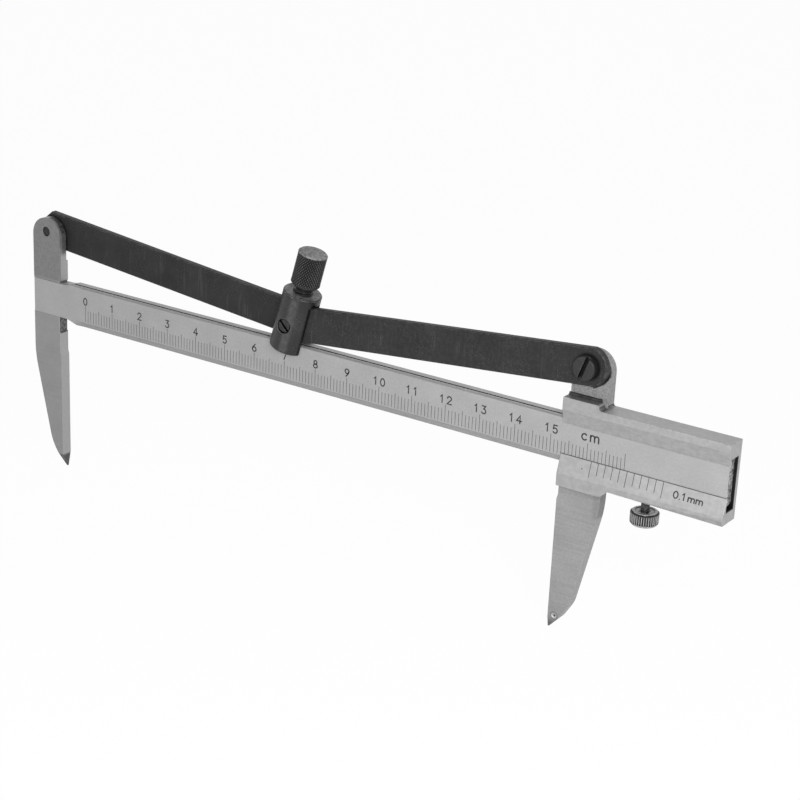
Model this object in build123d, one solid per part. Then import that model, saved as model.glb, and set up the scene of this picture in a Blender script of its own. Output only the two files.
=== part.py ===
"""Linkage vernier caliper: a graduated beam with a fixed jaw, a slider with a moving jaw,
and two equal black arms that carry a clamping block at the middle of the jaw gap.

X runs along the beam, with X = 0 on the fixed jaw's measuring face.
Y runs from the front to the back, with Y = 0 on the graduated face of the beam.
Z runs up, with Z = 0 at the level of the jaw points. All sizes are in millimetres.
"""
from build123d import *
import math
import os

# The pose in which the tool lies: the jaw gap that the vernier reads.
jaw_gap = 161.5
centre_drop = 8.07           # the middle pivot hangs this far below the line of the outer pivots
block_lean = 15.0            # degrees that the block leans towards the slider

# General fits.
running_fit = 0.05           # radial clearance of a turning pin
seat_fit = 0.02              # clearance of a piece that is fixed in its seat
sliding_gap = 0.05           # clearance between the slider and the beam
overrun = 2.0                # how far a cutting tool runs past the metal

# Beam.
beam_height = 11.5
beam_thickness = 3.5
beam_reach = 205.9           # from the fixed measuring face to the sawn end
beam_end_slant = 0.5         # the saw cut runs back by this over the thickness
low_bevel_height = 1.4
low_bevel_depth = 0.6
top_bevel = 0.42
groove_width = 0.7
groove_depth = 0.35
groove_inset = 0.53          # from the top bevel to the groove
tongue_thickness = 1.5       # part of the beam that is let into the fixed jaw
tongue_top_cut = 0.55        # the tongue is narrower than the beam by this at its top
tongue_low_cut = 1.2
tongue_inset = 0.35          # it ends this far short of the jaw's outer edge
cutter_radius = 9.0          # the cutter that narrowed the tongue leaves round shoulders
cutter_stop = 1.5            # its axis stopped this far past the measuring face
bevel_run_start = 2.5        # the long bevels fade in between these two places
bevel_run_end = 8.5

# Jaws.
jaw_depth = 44.5             # from the points to the underside of the beam
tip_flat = 0.35
tip_plane = 2.5              # depth of both points behind the graduated face
face_relief = 0.35           # the root of each jaw stands back from its measuring face
relief_top = 35.4            # height where the relief ends
relief_slope = 1.4
knee_height = 7.2            # height of the last corner above the point
taper_round = 30.0           # where the outer edge starts to taper

# Fixed jaw plate with its lug.
fixed_width = 10.1
fixed_thickness = 3.15
fixed_setback = 0.25         # its face stands behind the graduated face
fixed_taper_start = 32.7
fixed_knee_width = 4.0
fixed_knee_round = 14.0
fixed_tip_height = 4.2
fixed_tip_width = 1.85
fixed_tip_setback = 0.35
fixed_pivot_inset = 5.1      # from the measuring face back to the pivot
lug_edge_setback = 0.05
upper_notch_height = 0.5
lower_notch_height = 4.75
notch_depth = 0.25
fixed_arc_drop = 1.1         # centre of the rounded top below the pivot
lug_step_rise = 5.6          # step behind the fixed lug, above the top of the beam

# Moving jaw plate with its lug, measured from its own measuring face.
moving_width = 11.6
moving_taper_start = 33.5
moving_knee_width = 5.6
moving_knee_round = 8.0
moving_tip_height = 2.9
moving_tip_width = 3.0
moving_tip_setback = 0.2
moving_pivot_inset = 6.65
moving_lug_width = 9.9
moving_arc_drop = 1.45
dimple_radius = 0.62
dimple_depth = 0.4
dimple_inset = 1.75
dimple_height = 3.3

# Slider frame.
frame_inset = 1.3            # its left end stands back from the moving measuring face
frame_length = 43.3
front_lip = 1.0              # thickness of the lip in front of the beam
rear_wall = 1.45
upper_wall = 3.75
lower_wall = 3.03
gib_gap = 1.2
lip_overlap = 1.5            # the upper lip hangs this far below the top of the beam
lip_bevel_height = 3.45
edge_land = 0.12             # flat left on each bevelled edge
vernier_overlap = 2.25       # the vernier edge stands this far above the beam's underside
vernier_bevel_height = 4.65
vernier_projection = 1.5
block_raise = 1.3            # raised pad at the left end of the frame
raise_length = 9.6
raise_radius = 0.7
lug_cove = 0.7               # concave corner from the raised pad up to the lug's front
pad_cove = 0.6               # concave corner at the right end of the raised pad
foot_cove = 0.6              # concave corner at the lug's right foot
foot_drop = 1.32             # lower front pad, below the underside of the frame
underside_rise = 0.5         # the underside is this much higher beside the lower pad
facet_start = 180.0          # a facet grows along the lower front edge from here
facet_height = 1.3           # at the right end
facet_depth = 0.25
foot_length = 12.7
foot_curve = 1.5

# Rivets.
rivet_radius = 1.2
rivet_front_cover = 0.6      # metal left in front of a blind rivet
fixed_rivet_share = [(0.24, 0.74), (0.76, 0.74), (0.5, 0.26)]
moving_rivet_share = [(0.3, 0.5), (0.76, 0.5)]

# Arms.
arm_width = 9.4
arm_end_fullness = 0.3       # each end is rounded about its pivot, this much more than half the width
left_end_rise = 0.45         # the left arm's upper edge rises this much to its outer end
left_rise_start = 12.0       # the rise begins this far from the middle pivot
left_corner_inset = 0.86     # its upper left corner lies this far outside the pivot
arm_thickness = 1.9
arm_gap = 1.1                # between the two arms, filled by the spacer
arm_play = 0.05              # between an arm and the lug that carries it
arm_beam_gap = 0.73          # between the arms' lower edge and the beam at the middle pivot
arm_edge_break = 0.25

# Outer pivot screws.
shoulder_radius = 2.5
head_radius = 3.0
head_height = 2.2
head_round = 0.35
slot_width = 1.1
slot_depth = 1.0
thread_radius = 1.35
thread_setback = 0.25        # the thread ends just inside the lug
fixed_slot_angle = 25.0      # degrees from upright
moving_slot_angle = -20.0

# Middle pivot: spacer and screw.
spacer_radius = 3.4
pin_radius = 1.5
pin_head_radius = 1.78
pin_head_height = 1.1
pin_head_gap = 0.22          # between the head and its counterbore
pin_head_setback = 0.35      # its face lies this far behind the front of the block
pin_head_round = 0.15
pin_slot_width = 0.75
pin_slot_depth = 0.6
pin_slot_angle = 60.0

# Centre block.
block_radius = 5.1
block_below = 7.4            # from the middle pivot to its lower end
cap_thickness = 1.8
slot_side_gap = 0.1
roof_gap = 0.13              # between the roof and the arm when the block leans fully
block_edge = 0.3

# Clamp knob, its screw and pad.
clamp_radius = 2.5
pad_radius = 1.5
pad_thickness = 1.0
pad_gap = 0.08
neck_height = 1.75
neck_radius = 2.35
knob_radius = 3.85
knob_height = 9.5
knob_chamfer = 0.8
knob_top_edge = 0.3

# Lock screw, its shoe and the gib spring.
lock_inset = 22.4            # from the left end of the frame
lock_radius = 1.05
shoe_radius = 1.5
shoe_thickness = 1.0
shoe_travel = 0.9
shoe_gap = 0.05
lock_head_radius = 3.45
lock_head_height = 3.5
lock_head_drop = 2.72        # from the underside of the frame to the head
lock_rim_height = 0.3        # of the turned step on top of the knurl
lock_rim_radius = 3.0
lock_dish_radius = 2.45
lock_dish_depth = 0.15
lock_dome = 1.0
lock_plain_height = 0.7      # the flutes end this far above the foot of the head
flute_count = 36
flute_depth = 0.32
gib_length = 36.0
gib_width = 3.0
gib_thickness = 0.4
gib_floor_gap = 0.02

# Directions.
RIGHTWARDS = (1, 0, 0)
BACKWARDS = (0, 1, 0)
UPWARDS = (0, 0, 1)

# Places that follow from those sizes.
arm_end_radius = arm_width / 2 + arm_end_fullness
beam_bottom = jaw_depth
beam_top = beam_bottom + beam_height
tongue_bottom = beam_bottom + tongue_low_cut
tongue_top = beam_top - tongue_top_cut
pivot_height = beam_top + arm_beam_gap + arm_width / 2 + centre_drop
half_span = (jaw_gap + fixed_pivot_inset + moving_pivot_inset) / 2
arm_length = math.hypot(half_span, centre_drop)
arm_angle = math.degrees(math.atan2(centre_drop, half_span))
fixed_pivot_x = -fixed_pivot_inset
moving_pivot_x = jaw_gap + moving_pivot_inset
centre_x = (fixed_pivot_x + moving_pivot_x) / 2
centre_height = pivot_height - centre_drop

mid_plane = beam_thickness / 2
right_arm_front = -slot_side_gap
right_arm_back = right_arm_front + arm_thickness
left_arm_front = right_arm_back + arm_gap
left_arm_back = left_arm_front + arm_thickness
slot_front = right_arm_front - slot_side_gap
slot_back = left_arm_back + slot_side_gap

fixed_back = fixed_setback + fixed_thickness
fixed_lug_back = left_arm_front - arm_play
moving_front = right_arm_back + arm_play
frame_front = -front_lip
frame_back = beam_thickness + sliding_gap + rear_wall
channel_top = beam_top + sliding_gap
channel_bottom = beam_bottom - gib_gap
frame_top = channel_top + upper_wall
frame_bottom = channel_bottom - lower_wall
frame_left = jaw_gap + frame_inset
frame_right = frame_left + frame_length
plate_right = jaw_gap + moving_width
foot_bottom = frame_bottom - foot_drop

# Heights in the block's own frame, measured from the middle pivot.
steepest = math.radians(block_lean + arm_angle)
roof_height = (arm_width / 2 + block_radius * math.sin(steepest) + roof_gap) / math.cos(steepest)
block_top = roof_height + cap_thickness
pad_bottom = (arm_width / 2 + pad_radius * math.sin(steepest)) / math.cos(steepest) + pad_gap
pad_top = pad_bottom + pad_thickness
knob_bottom = block_top + neck_height
pin_head_seat = -block_radius + pin_head_setback + pin_head_height

lock_x = frame_left + lock_inset
gib_top = beam_bottom - sliding_gap
shoe_top = gib_top - gib_thickness - shoe_gap
shoe_bottom = shoe_top - shoe_thickness
lock_head_top = frame_bottom - lock_head_drop


def plate(points, front, back, rounded=()):
    """A flat plate from an outline of (x, z) points, between two depths."""
    face = round_corners(make_face(Plane.XZ * Polyline(*points, close=True)), rounded)
    return Pos(0, front, 0) * extrude(face, amount=back - front, dir=BACKWARDS)


def bar(points, start, end):
    """A straight bar from a section of (y, z) points, between two places along X."""
    face = make_face(Plane.YZ * Polyline(*points, close=True))
    return Pos(start, 0, 0) * extrude(face, amount=end - start, dir=RIGHTWARDS)


def block_between(x_range, y_range, z_range):
    """A plain block between pairs of limits."""
    size = [high - low for low, high in (x_range, y_range, z_range)]
    middle = [(high + low) / 2 for low, high in (x_range, y_range, z_range)]
    return Pos(*middle) * Box(*size)


def pin_y(x, z, radius, front, back):
    """A round pin along Y between two depths."""
    pin = Cylinder(radius, back - front)
    return Pos(x, (front + back) / 2, z) * Rot(90, 0, 0) * pin


def round_z(radius, low, high):
    """A round bar on the Z axis between two heights."""
    return Pos(0, 0, (low + high) / 2) * Cylinder(radius, high - low)


def round_corners(face, corners):
    """Round the corners of an outline in the XZ plane, each given by its place and radius."""
    for x, z, radius in corners:
        corner = face.vertices().sort_by_distance((x, 0, z))[0]
        face = fillet(corner, radius)
    return face


def cove(radius):
    """The section of a concave corner, filled between two walls that meet at the origin."""
    return Pos(radius / 2, radius / 2) * Rectangle(radius, radius) - Pos(radius, radius) * Circle(radius)


def jaw_tip(section_low, section_high, thickness_low, thickness_high, height, point_x):
    """The ground point of a jaw, from its full section down to a small flat at Z = 0."""
    width = section_high - section_low
    depth = thickness_high - thickness_low
    middle = Pos((section_low + section_high) / 2, (thickness_low + thickness_high) / 2, height)
    upper = middle * Rectangle(width, depth)
    lower = Pos(point_x, tip_plane, 0) * Rectangle(tip_flat, tip_flat)
    return loft([lower, upper], ruled=True)


def lug_profile(left, right, foot, arc_drop):
    """A lug with a rounded top, as a face in the XZ plane."""
    radius = (right - left) / 2
    centre = (left + right) / 2
    shoulder = pivot_height - arc_drop
    sides = make_face(Plane.XZ * Polyline(
        (left, foot), (left, shoulder), (right, shoulder), (right, foot), close=True))
    arc = Plane.XZ * Pos(centre, shoulder) * Circle(radius)
    return sides + arc


def lug(left, right, foot, arc_drop, front, back):
    """A lug's solid between two depths."""
    face = lug_profile(left, right, foot, arc_drop)
    return Pos(0, front, 0) * extrude(face, amount=back - front, dir=BACKWARDS)


def bevel_cut(corner_z, depth, height):
    """Metal cut from a long front edge: it fades in along X and then keeps its full size.

    The height is negative on an edge whose bevel lies below it.
    """
    along_y = depth * overrun
    along_z = height * overrun
    outside = (-overrun, corner_z - math.copysign(overrun, height))
    faded = [(-along_y, corner_z + along_z), (along_y, corner_z - along_z), outside]
    full = [(-along_y, corner_z + height + along_z), (depth + along_y, corner_z - along_z), outside]
    start = Pos(bevel_run_start, 0, 0) * make_face(Plane.YZ * Polyline(*faded, close=True))
    end = Pos(bevel_run_end, 0, 0) * make_face(Plane.YZ * Polyline(*full, close=True))
    return loft([start, end], ruled=True) + bar(full, bevel_run_end, beam_reach + overrun)


def tongue_cut(edge_z, depth, inward):
    """Metal that the cutter took from one edge of the beam to leave the tongue."""
    floor_z = edge_z + inward * depth
    axis_z = floor_z - inward * cutter_radius
    z_range = sorted((floor_z, edge_z - inward * overrun))
    y_range = (-overrun, beam_thickness + overrun)
    path = block_between((-fixed_width - overrun, cutter_stop), y_range, z_range)
    return path + pin_y(cutter_stop, axis_z, cutter_radius, *y_range)


def make_main_beam():
    groove_front = top_bevel + groove_inset
    groove_back = groove_front + groove_width
    tongue_end = tongue_inset - fixed_width
    beam = block_between((tongue_end, beam_reach), (0, beam_thickness), (beam_bottom, beam_top))
    beam -= block_between((-fixed_width - overrun, beam_reach + overrun), (groove_front, groove_back),
                          (beam_top - groove_depth, beam_top + overrun))
    beam -= bevel_cut(beam_bottom, low_bevel_depth, low_bevel_height)
    beam -= bevel_cut(beam_top, top_bevel, -top_bevel)
    beam -= tongue_cut(beam_bottom, tongue_low_cut, 1)
    beam -= tongue_cut(beam_top, tongue_top_cut, -1)
    rear_lap = block_between(
        (-fixed_width - overrun, 0), (tongue_thickness, beam_thickness + overrun),
        (beam_bottom - overrun, beam_top + overrun))
    saw_cut = extrude(make_face(Polyline(
        (beam_reach, 0), (beam_reach + overrun, 0),
        (beam_reach + overrun, beam_thickness + overrun),
        (beam_reach - beam_end_slant, beam_thickness + overrun),
        (beam_reach - beam_end_slant, beam_thickness), close=True)),
        amount=beam_top + overrun, dir=UPWARDS)
    beam = beam - rear_lap - saw_cut
    for x, z in fixed_rivet_places():
        beam = beam - pin_y(x, z, rivet_radius + seat_fit, rivet_front_cover, beam_thickness)
    return beam


def fixed_rivet_places():
    return [(-fixed_width * x_share, beam_bottom + beam_height * z_share)
            for x_share, z_share in fixed_rivet_share]


def make_fixed_jaw():
    outline = [
        (0, fixed_tip_height), (0, relief_top - relief_slope), (-face_relief, relief_top),
        (-face_relief, tongue_bottom - lower_notch_height),
        (-face_relief - notch_depth, tongue_bottom - lower_notch_height),
        (-face_relief - notch_depth, tongue_bottom), (0, tongue_bottom),
        (0, tongue_top), (-lug_edge_setback - notch_depth, tongue_top),
        (-lug_edge_setback - notch_depth, tongue_top + upper_notch_height),
        (-lug_edge_setback, tongue_top + upper_notch_height),
        (-lug_edge_setback, beam_top + lug_step_rise),
        (-fixed_width, beam_top + lug_step_rise), (-fixed_width, fixed_taper_start),
        (-fixed_knee_width, knee_height), (-fixed_tip_width, fixed_tip_height),
    ]
    jaw = plate(outline, fixed_setback, fixed_back,
                [(-fixed_width, fixed_taper_start, taper_round),
                 (-fixed_knee_width, knee_height, fixed_knee_round)])
    jaw += lug(-fixed_width, -lug_edge_setback, beam_top + lug_step_rise,
               fixed_arc_drop, fixed_setback, fixed_lug_back)
    jaw += jaw_tip(-fixed_tip_width, 0, fixed_setback, fixed_back, fixed_tip_height,
                   -fixed_tip_setback)
    tongue_seat = block_between(
        (-fixed_width - overrun, overrun), (-overrun, tongue_thickness), (tongue_bottom, tongue_top))
    jaw -= tongue_seat
    jaw -= pin_y(fixed_pivot_x, pivot_height, thread_radius + seat_fit,
                 fixed_setback - overrun, fixed_back + overrun)
    for x, z in fixed_rivet_places():
        jaw -= pin_y(x, z, rivet_radius + seat_fit, fixed_setback, fixed_back + overrun)
    return jaw


def make_fixed_jaw_rivet(index):
    x, z = fixed_rivet_places()[index]
    return pin_y(x, z, rivet_radius, rivet_front_cover + seat_fit, fixed_back)


def moving_rivet_places():
    """Two rivets in the wall above the beam and two in the wall below it."""
    low = (channel_bottom + foot_bottom) / 2
    high = (channel_top + frame_top + block_raise) / 2
    return [(frame_left + (plate_right - frame_left) * x_share, z)
            for z in (high, low) for x_share, _ in moving_rivet_share]


def make_moving_jaw():
    face = jaw_gap
    outline = [
        (face, moving_tip_height), (face + moving_tip_width, moving_tip_height),
        (face + moving_knee_width, knee_height), (plate_right, moving_taper_start),
        (plate_right, frame_top), (frame_left, frame_top), (frame_left, foot_bottom),
        (face + face_relief, foot_bottom), (face + face_relief, relief_top),
        (face, relief_top - relief_slope),
    ]
    jaw = plate(outline, moving_front, frame_back,
                [(plate_right, moving_taper_start, taper_round),
                 (face + moving_knee_width, knee_height, moving_knee_round)])
    lug_middle = jaw_gap + moving_pivot_inset
    jaw += lug(lug_middle - moving_lug_width / 2, lug_middle + moving_lug_width / 2,
               frame_top, moving_arc_drop, moving_front, frame_back)
    jaw += jaw_tip(face, face + moving_tip_width, moving_front, frame_back, moving_tip_height,
                   face + moving_tip_setback)
    jaw -= block_between(
        (frame_left - overrun, plate_right + overrun),
        (moving_front - overrun, beam_thickness + sliding_gap), (channel_bottom, channel_top))
    jaw -= pin_y(moving_pivot_x, pivot_height, thread_radius + seat_fit,
                 moving_front - overrun, frame_back + overrun)
    dimple = Pos(face + dimple_inset, moving_front, dimple_height) * Rot(90, 0, 0) * Cone(
        0, dimple_radius * 2, dimple_depth * 2)
    jaw -= dimple
    for x, z in moving_rivet_places():
        jaw -= pin_y(x, z, rivet_radius + seat_fit, moving_front - overrun, frame_back + overrun)
    return jaw


def make_moving_jaw_rivet(index):
    x, z = moving_rivet_places()[index]
    return pin_y(x, z, rivet_radius, frame_front + rivet_front_cover + seat_fit, frame_back)


def slider_coves():
    """Concave corners: in front of the lug, at the right end of the raised pad and at the lug's foot."""
    pad_top = frame_top + block_raise
    pad_end = frame_left + raise_length
    front = extrude(Plane((frame_left, moving_front, pad_top), x_dir=(0, -1, 0), z_dir=(-1, 0, 0))
                    * cove(lug_cove), amount=raise_length - raise_radius, dir=RIGHTWARDS)
    upright = Plane((pad_end, frame_front, frame_top), x_dir=(1, 0, 0), z_dir=(0, -1, 0))
    right = extrude(upright * cove(pad_cove), amount=moving_front - frame_front, dir=BACKWARDS)
    foot = extrude(Plane((plate_right, moving_front, frame_top), x_dir=(1, 0, 0), z_dir=(0, -1, 0))
                   * cove(foot_cove), amount=frame_back - moving_front, dir=BACKWARDS)
    return front + right + foot


def below_underside():
    """Metal below the sloping underside, with the growing facet along its front edge."""
    foot_end = frame_left + foot_length + foot_curve
    high = frame_bottom + underside_rise
    low = frame_bottom - overrun
    outline = make_face(Plane.XZ * Polyline(
        (frame_left, low), (frame_left, high), (foot_end, high), (frame_right, frame_bottom),
        (frame_right, low), close=True))
    wedge = Pos(0, -vernier_projection, 0) * extrude(
        outline, amount=frame_back + vernier_projection, dir=BACKWARDS)
    edge_height = frame_bottom + underside_rise * (frame_right - facet_start) / (frame_right - foot_end)
    out = overrun * facet_depth / facet_height
    front = -vernier_projection
    start = Pos(facet_start, 0, 0) * make_face(Plane.YZ * Polyline(
        (front - out, edge_height + overrun), (front + out, edge_height - overrun),
        (front - out, edge_height - overrun), close=True))
    end = Pos(frame_right, 0, 0) * make_face(Plane.YZ * Polyline(
        (front - out, frame_bottom + facet_height + overrun), (front + facet_depth + out, low),
        (front - out, low), close=True))
    return wedge + loft([start, end], ruled=True)


def make_slider_frame():
    lip_edge = beam_top - lip_overlap
    vernier_edge = beam_bottom + vernier_overlap
    vernier_front = -vernier_projection
    inner = -sliding_gap
    section = [
        (frame_front, frame_top), (frame_back, frame_top), (frame_back, frame_bottom),
        (vernier_front, frame_bottom), (vernier_front, vernier_edge - vernier_bevel_height),
        (inner - edge_land, vernier_edge), (inner, vernier_edge), (inner, channel_bottom),
        (beam_thickness + sliding_gap, channel_bottom), (beam_thickness + sliding_gap, channel_top),
        (inner, channel_top), (inner, lip_edge), (inner - edge_land, lip_edge),
        (frame_front, lip_edge + lip_bevel_height),
    ]
    frame = bar(section, frame_left, frame_right)
    frame -= below_underside()
    raised = block_between(
        (frame_left, frame_left + raise_length), (frame_front, moving_front),
        (lip_edge + lip_bevel_height, frame_top + block_raise))
    raised_edge = raised.edges().filter_by(Axis.Y).group_by(Axis.Z)[-1].sort_by(Axis.X)[-1]
    frame += fillet(raised_edge, raise_radius)
    frame += slider_coves()
    foot_right = frame_left + foot_length
    foot_end = foot_right + foot_curve
    foot_top = vernier_edge - vernier_bevel_height
    foot_outline = make_face(Plane.XZ * (
        Line((frame_left, foot_top), (frame_left, foot_bottom))
        + Line((frame_left, foot_bottom), (foot_right - foot_curve, foot_bottom))
        + Spline((foot_right - foot_curve, foot_bottom), (foot_end, frame_bottom + underside_rise),
                 tangents=[(1, 0), (1, 0)])
        + Line((foot_end, frame_bottom + underside_rise), (foot_end, foot_top))
        + Line((foot_end, foot_top), (frame_left, foot_top))))
    foot = extrude(foot_outline, amount=moving_front - vernier_front, dir=BACKWARDS)
    frame += Pos(0, vernier_front, 0) * foot
    plate_seat = block_between(
        (frame_left - overrun, plate_right), (moving_front, frame_back + overrun),
        (foot_bottom - overrun, frame_top + block_raise + overrun))
    frame -= plate_seat
    for x, z in moving_rivet_places():
        frame -= pin_y(x, z, rivet_radius + seat_fit,
                       frame_front + rivet_front_cover, frame_back)
    middle = Pos(lock_x, mid_plane, 0)
    frame -= middle * round_z(lock_radius + running_fit, frame_bottom - overrun,
                              channel_bottom + sliding_gap)
    pocket_low = shoe_bottom - shoe_travel - shoe_gap
    frame -= middle * round_z(shoe_radius + running_fit, pocket_low, channel_bottom + sliding_gap)
    return frame


def make_gib_spring():
    """A bowed leaf: its ends stand on the channel's floor and its crown bears on the beam."""
    end_low = channel_bottom + gib_floor_gap
    crown_low = gib_top - gib_thickness
    half = gib_length / 2
    middle = (frame_left + frame_right) / 2
    lower = ThreePointArc((middle - half, end_low), (middle, crown_low), (middle + half, end_low))
    upper = ThreePointArc((middle + half, end_low + gib_thickness), (middle, gib_top),
                          (middle - half, end_low + gib_thickness))
    edges = lower + Line(lower @ 1, upper @ 0) + upper + Line(upper @ 1, lower @ 0)
    leaf = extrude(make_face(Plane.XZ * edges), amount=gib_width, dir=BACKWARDS)
    return Pos(0, mid_plane - gib_width / 2, 0) * leaf


def make_lock_shoe():
    return Pos(lock_x, mid_plane, 0) * round_z(shoe_radius, shoe_bottom, shoe_top)


def make_lock_screw():
    head_bottom = lock_head_top - lock_head_height
    rim_low = lock_head_top - lock_rim_height
    head = round_z(lock_head_radius, head_bottom, rim_low)
    head = fillet(head.edges().group_by(Axis.Z)[0], lock_dome)
    flute_low = head_bottom + lock_plain_height
    flute = Pos(lock_head_radius, 0, (flute_low + lock_head_top) / 2) * Rot(0, 0, 45) * Box(
        flute_depth * math.sqrt(2), flute_depth * math.sqrt(2), lock_head_top - flute_low)
    for turn in range(flute_count):
        head -= Rot(0, 0, 360 * turn / flute_count) * flute
    head += round_z(lock_rim_radius, rim_low, lock_head_top)
    head -= round_z(lock_dish_radius, lock_head_top - lock_dish_depth, lock_head_top + overrun)
    stem = round_z(lock_radius, lock_head_top - lock_dish_depth, shoe_bottom - shoe_gap)
    return Pos(lock_x, mid_plane, 0) * (head + stem)


def arm_outline():
    """An arm with round ends, drawn level from its outer pivot at the origin."""
    span = Pos(arm_length / 2, 0)
    ends = Circle(arm_end_radius) + Pos(arm_length, 0) * Circle(arm_end_radius)
    strip = span * Rectangle(arm_length + arm_end_radius * 2, arm_width)
    return strip & (ends + span * Rectangle(arm_length, arm_width))


def left_arm_outline():
    """The same with an upper edge that rises to the outer end and stops at a slanting facet."""
    half = arm_width / 2
    top = half + left_end_rise
    corner = -left_corner_inset
    rise_end = arm_length - left_rise_start
    rise = make_face(Polyline(
        (corner - left_end_rise, 0), (corner - left_end_rise, half), (corner, top),
        (rise_end, half), (rise_end, 0), close=True))
    beyond = make_face(Polyline(
        (corner + overrun, top + overrun), (corner - top, 0), (corner - top, top + overrun), close=True))
    return arm_outline() + rise - beyond


def make_arm(outline, front, back, outer_radius):
    arm = Pos(0, front, 0) * extrude(Plane.XZ * outline, amount=back - front, dir=BACKWARDS)
    rims = arm.edges().group_by(Axis.Y)
    arm = chamfer(rims[0] + rims[-1], arm_edge_break)
    arm -= pin_y(0, 0, outer_radius, front - overrun, back + overrun)
    arm -= pin_y(arm_length, 0, pin_radius + running_fit, front - overrun, back + overrun)
    return arm


def make_left_arm():
    arm = make_arm(left_arm_outline(), left_arm_front, left_arm_back, shoulder_radius + running_fit)
    return Pos(fixed_pivot_x, 0, pivot_height) * Rot(0, arm_angle, 0) * arm


def make_right_arm():
    arm = make_arm(arm_outline(), right_arm_front, right_arm_back, shoulder_radius + running_fit)
    return Pos(moving_pivot_x, 0, pivot_height) * Rot(0, 180 - arm_angle, 0) * arm


def slotted_head(radius, height, edge, width, depth, angle):
    """A cheese head on the Z axis, from Z = 0 up, with a screwdriver slot in its top."""
    head = round_z(radius, 0, height)
    head = fillet(head.edges().group_by(Axis.Z)[-1], edge)
    cut = Pos(0, 0, height) * Rot(0, 0, angle) * Box(radius * 2 + overrun, width, depth * 2)
    return head - cut


def make_left_pivot_screw():
    """Screwed into the fixed lug from behind, with the left arm on its shoulder."""
    head_seat = left_arm_back + arm_play
    head = slotted_head(head_radius, head_height, head_round, slot_width, slot_depth,
                        90 + fixed_slot_angle)
    head = Pos(fixed_pivot_x, head_seat, pivot_height) * Rot(-90, 0, 0) * head
    shoulder = pin_y(fixed_pivot_x, pivot_height, shoulder_radius, fixed_lug_back, head_seat)
    thread = pin_y(fixed_pivot_x, pivot_height, thread_radius,
                   fixed_setback + thread_setback, fixed_lug_back)
    return head + shoulder + thread


def make_right_pivot_screw():
    """Screwed into the moving lug from the front, with the right arm on its shoulder."""
    head_seat = right_arm_front - arm_play
    head = slotted_head(head_radius, head_height, head_round, slot_width, slot_depth,
                        90 + moving_slot_angle)
    head = Pos(moving_pivot_x, head_seat, pivot_height) * Rot(90, 0, 0) * head
    shoulder = pin_y(moving_pivot_x, pivot_height, shoulder_radius, head_seat, moving_front)
    thread = pin_y(moving_pivot_x, pivot_height, thread_radius,
                   moving_front, frame_back - thread_setback)
    return head + shoulder + thread


def make_centre_spacer():
    ring = pin_y(centre_x, centre_height, spacer_radius,
                 right_arm_back + arm_play, left_arm_front - arm_play)
    return ring - pin_y(centre_x, centre_height, pin_radius + running_fit,
                        right_arm_back - overrun, left_arm_front + overrun)


def lean(shape):
    """Put a shape drawn about the middle pivot in its leaning place."""
    return Pos(centre_x, mid_plane, centre_height) * Rot(0, block_lean, 0) * shape


def make_centre_block():
    body = round_z(block_radius, -block_below, block_top)
    body = chamfer(body.edges().group_by(Axis.Z)[0], block_edge)
    body = chamfer(body.edges().group_by(Axis.Z)[-1], block_edge)
    body -= block_between(
        (-block_radius - overrun, block_radius + overrun),
        (slot_front - mid_plane, slot_back - mid_plane), (-block_below - overrun, roof_height))
    body -= round_z(clamp_radius + running_fit, 0, block_top + overrun)
    body -= pin_y(0, 0, pin_radius + seat_fit, -block_radius - overrun, block_radius + overrun)
    body -= pin_y(0, 0, pin_head_radius + pin_head_gap, -block_radius - overrun, pin_head_seat)
    return lean(body)


def make_centre_pivot_screw():
    head = slotted_head(pin_head_radius, pin_head_height, pin_head_round, pin_slot_width,
                        pin_slot_depth, 90 + pin_slot_angle)
    head = Pos(0, pin_head_seat, 0) * Rot(90, 0, 0) * head
    shank = pin_y(0, 0, pin_radius, pin_head_seat, block_radius - thread_setback)
    return lean(head + shank)


def make_clamp_pad():
    return lean(round_z(pad_radius, pad_bottom, pad_top))


def make_clamp_knob():
    knob = round_z(knob_radius, knob_bottom, knob_bottom + knob_height)
    knob = chamfer(knob.edges().group_by(Axis.Z)[0], knob_chamfer)
    knob = chamfer(knob.edges().group_by(Axis.Z)[-1], knob_top_edge)
    knob += round_z(clamp_radius, pad_top + seat_fit, knob_bottom - neck_height / 2)
    knob += round_z(neck_radius, knob_bottom - neck_height / 2, knob_bottom)
    return lean(knob)


def all_pieces():
    pieces = {
        "main_beam": make_main_beam(),
        "fixed_jaw": make_fixed_jaw(),
        "slider_frame": make_slider_frame(),
        "moving_jaw": make_moving_jaw(),
        "gib_spring": make_gib_spring(),
        "lock_shoe": make_lock_shoe(),
        "lock_screw": make_lock_screw(),
        "left_arm": make_left_arm(),
        "right_arm": make_right_arm(),
        "left_pivot_screw": make_left_pivot_screw(),
        "right_pivot_screw": make_right_pivot_screw(),
        "centre_spacer": make_centre_spacer(),
        "centre_block": make_centre_block(),
        "centre_pivot_screw": make_centre_pivot_screw(),
        "clamp_pad": make_clamp_pad(),
        "clamp_knob": make_clamp_knob(),
    }
    for index in range(len(fixed_rivet_places())):
        pieces[f"fixed_jaw_rivet_{index + 1}"] = make_fixed_jaw_rivet(index)
    for index in range(len(moving_rivet_places())):
        pieces[f"moving_jaw_rivet_{index + 1}"] = make_moving_jaw_rivet(index)
    return pieces


os.makedirs("parts", exist_ok=True)
for name, piece in all_pieces().items():
    export_step(piece, f"parts/{name}.step")
print("arm length", round(arm_length, 3), "arm angle", round(arm_angle, 3))
print("pivots", (fixed_pivot_x, pivot_height), (moving_pivot_x, pivot_height))
print("middle pivot", (centre_x, centre_height))
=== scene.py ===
# %% [markdown]
# The frame. Every metal piece of the caliper arrives here as a finished solid, already in
# its place and at its real size. This file dresses those solids: it gives them their metals,
# cuts the knurl of the clamping knob and lays the graduations. All lengths in Blender are
# metres, so one millimetre is written as MM.

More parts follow.
